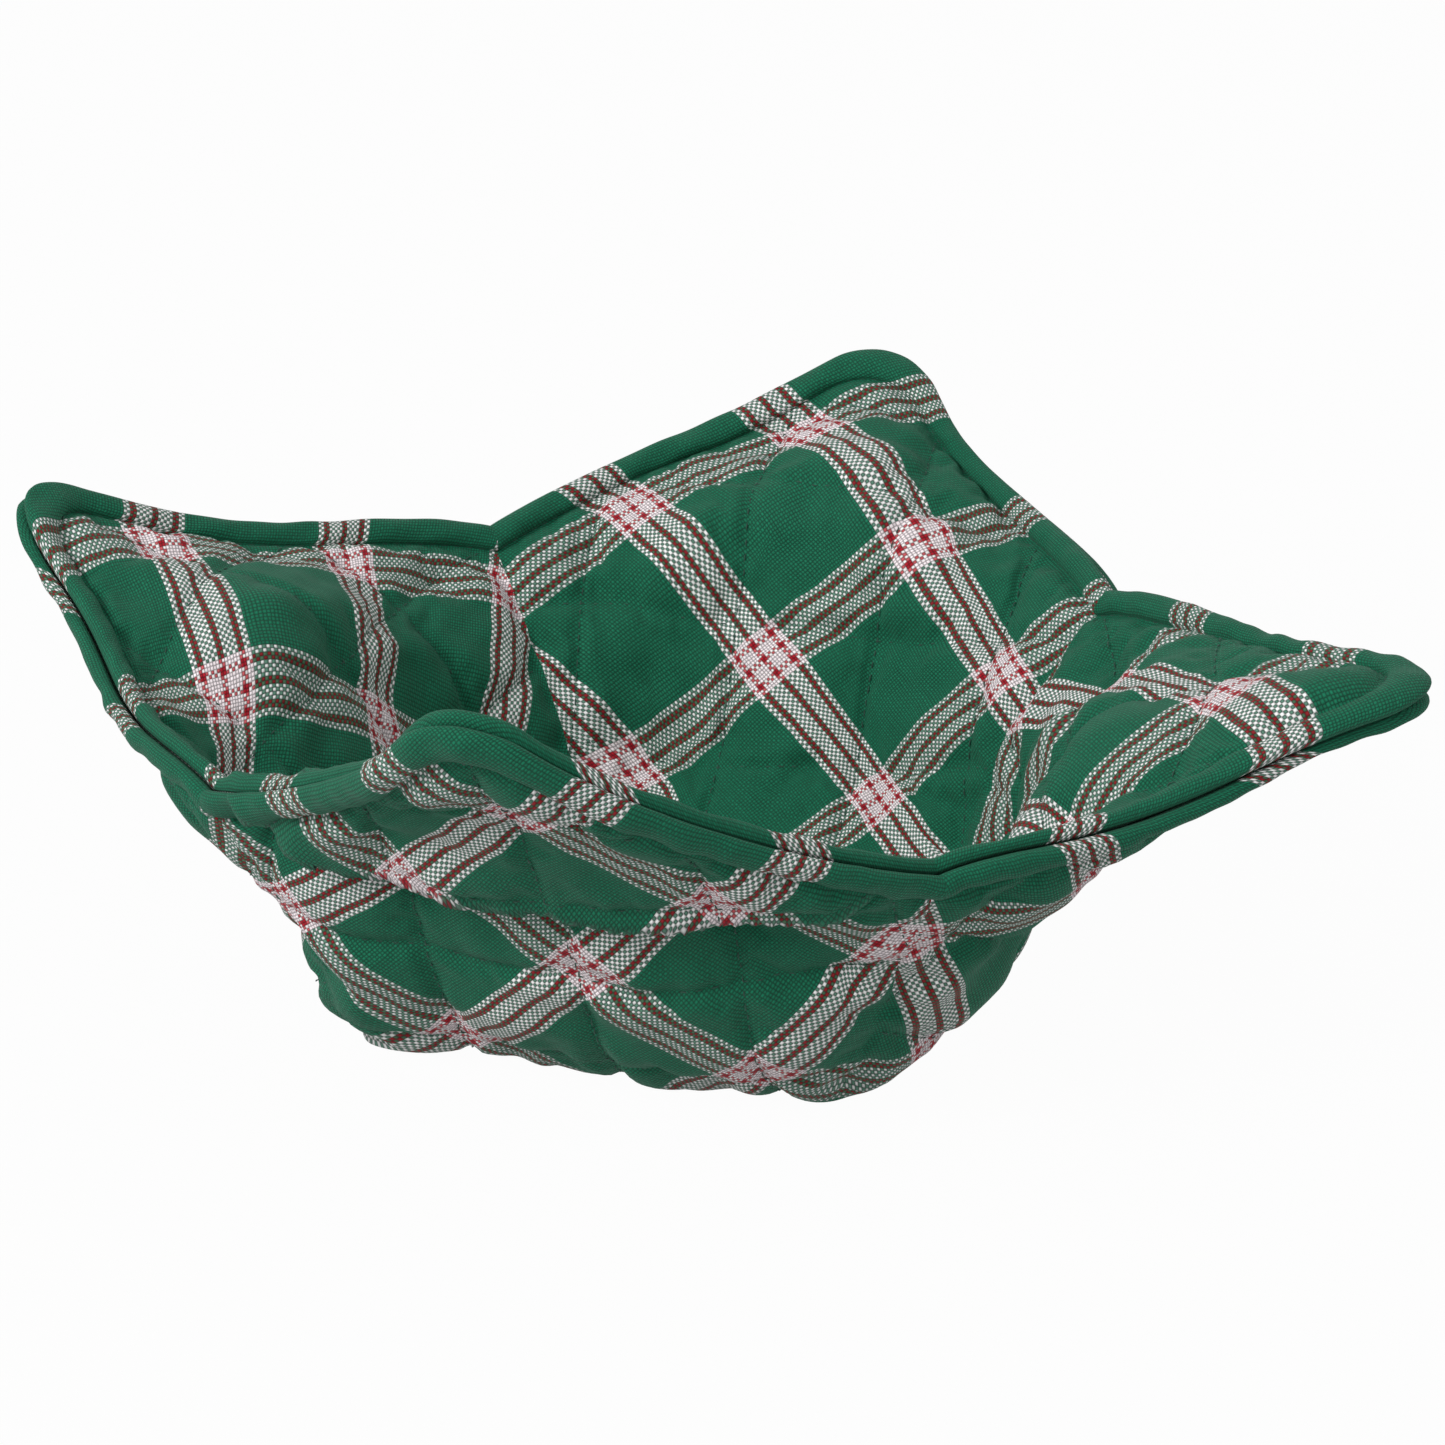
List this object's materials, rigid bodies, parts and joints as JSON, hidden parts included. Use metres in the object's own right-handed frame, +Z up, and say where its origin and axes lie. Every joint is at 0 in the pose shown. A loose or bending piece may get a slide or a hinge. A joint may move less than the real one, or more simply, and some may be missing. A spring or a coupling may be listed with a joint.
{
  "type": "microwave bowl cozy",
  "caption": "Quilted square cloth holder for a hot bowl: two darted cotton panels sewn together at the rim, with a flat base and flared corner flaps.",
  "frame": {"origin": "on the table, under the middle of the object's box", "axes": "+X from the left flap to the right flap, +Y from the front flap to the back flap, +Z up"},
  "size_m": [0.2682, 0.2596, 0.1041],
  "materials": {
    "outer_cotton": "plain-weave cotton, green ground with a red and white plaid",
    "inner_cotton": "plain-weave cotton, green ground with a red and white plaid"
  },
  "bodies": {
    "root": {"outer_panel": "outer_cotton", "inner_panel": "inner_cotton"}
  },
  "joints": []
}
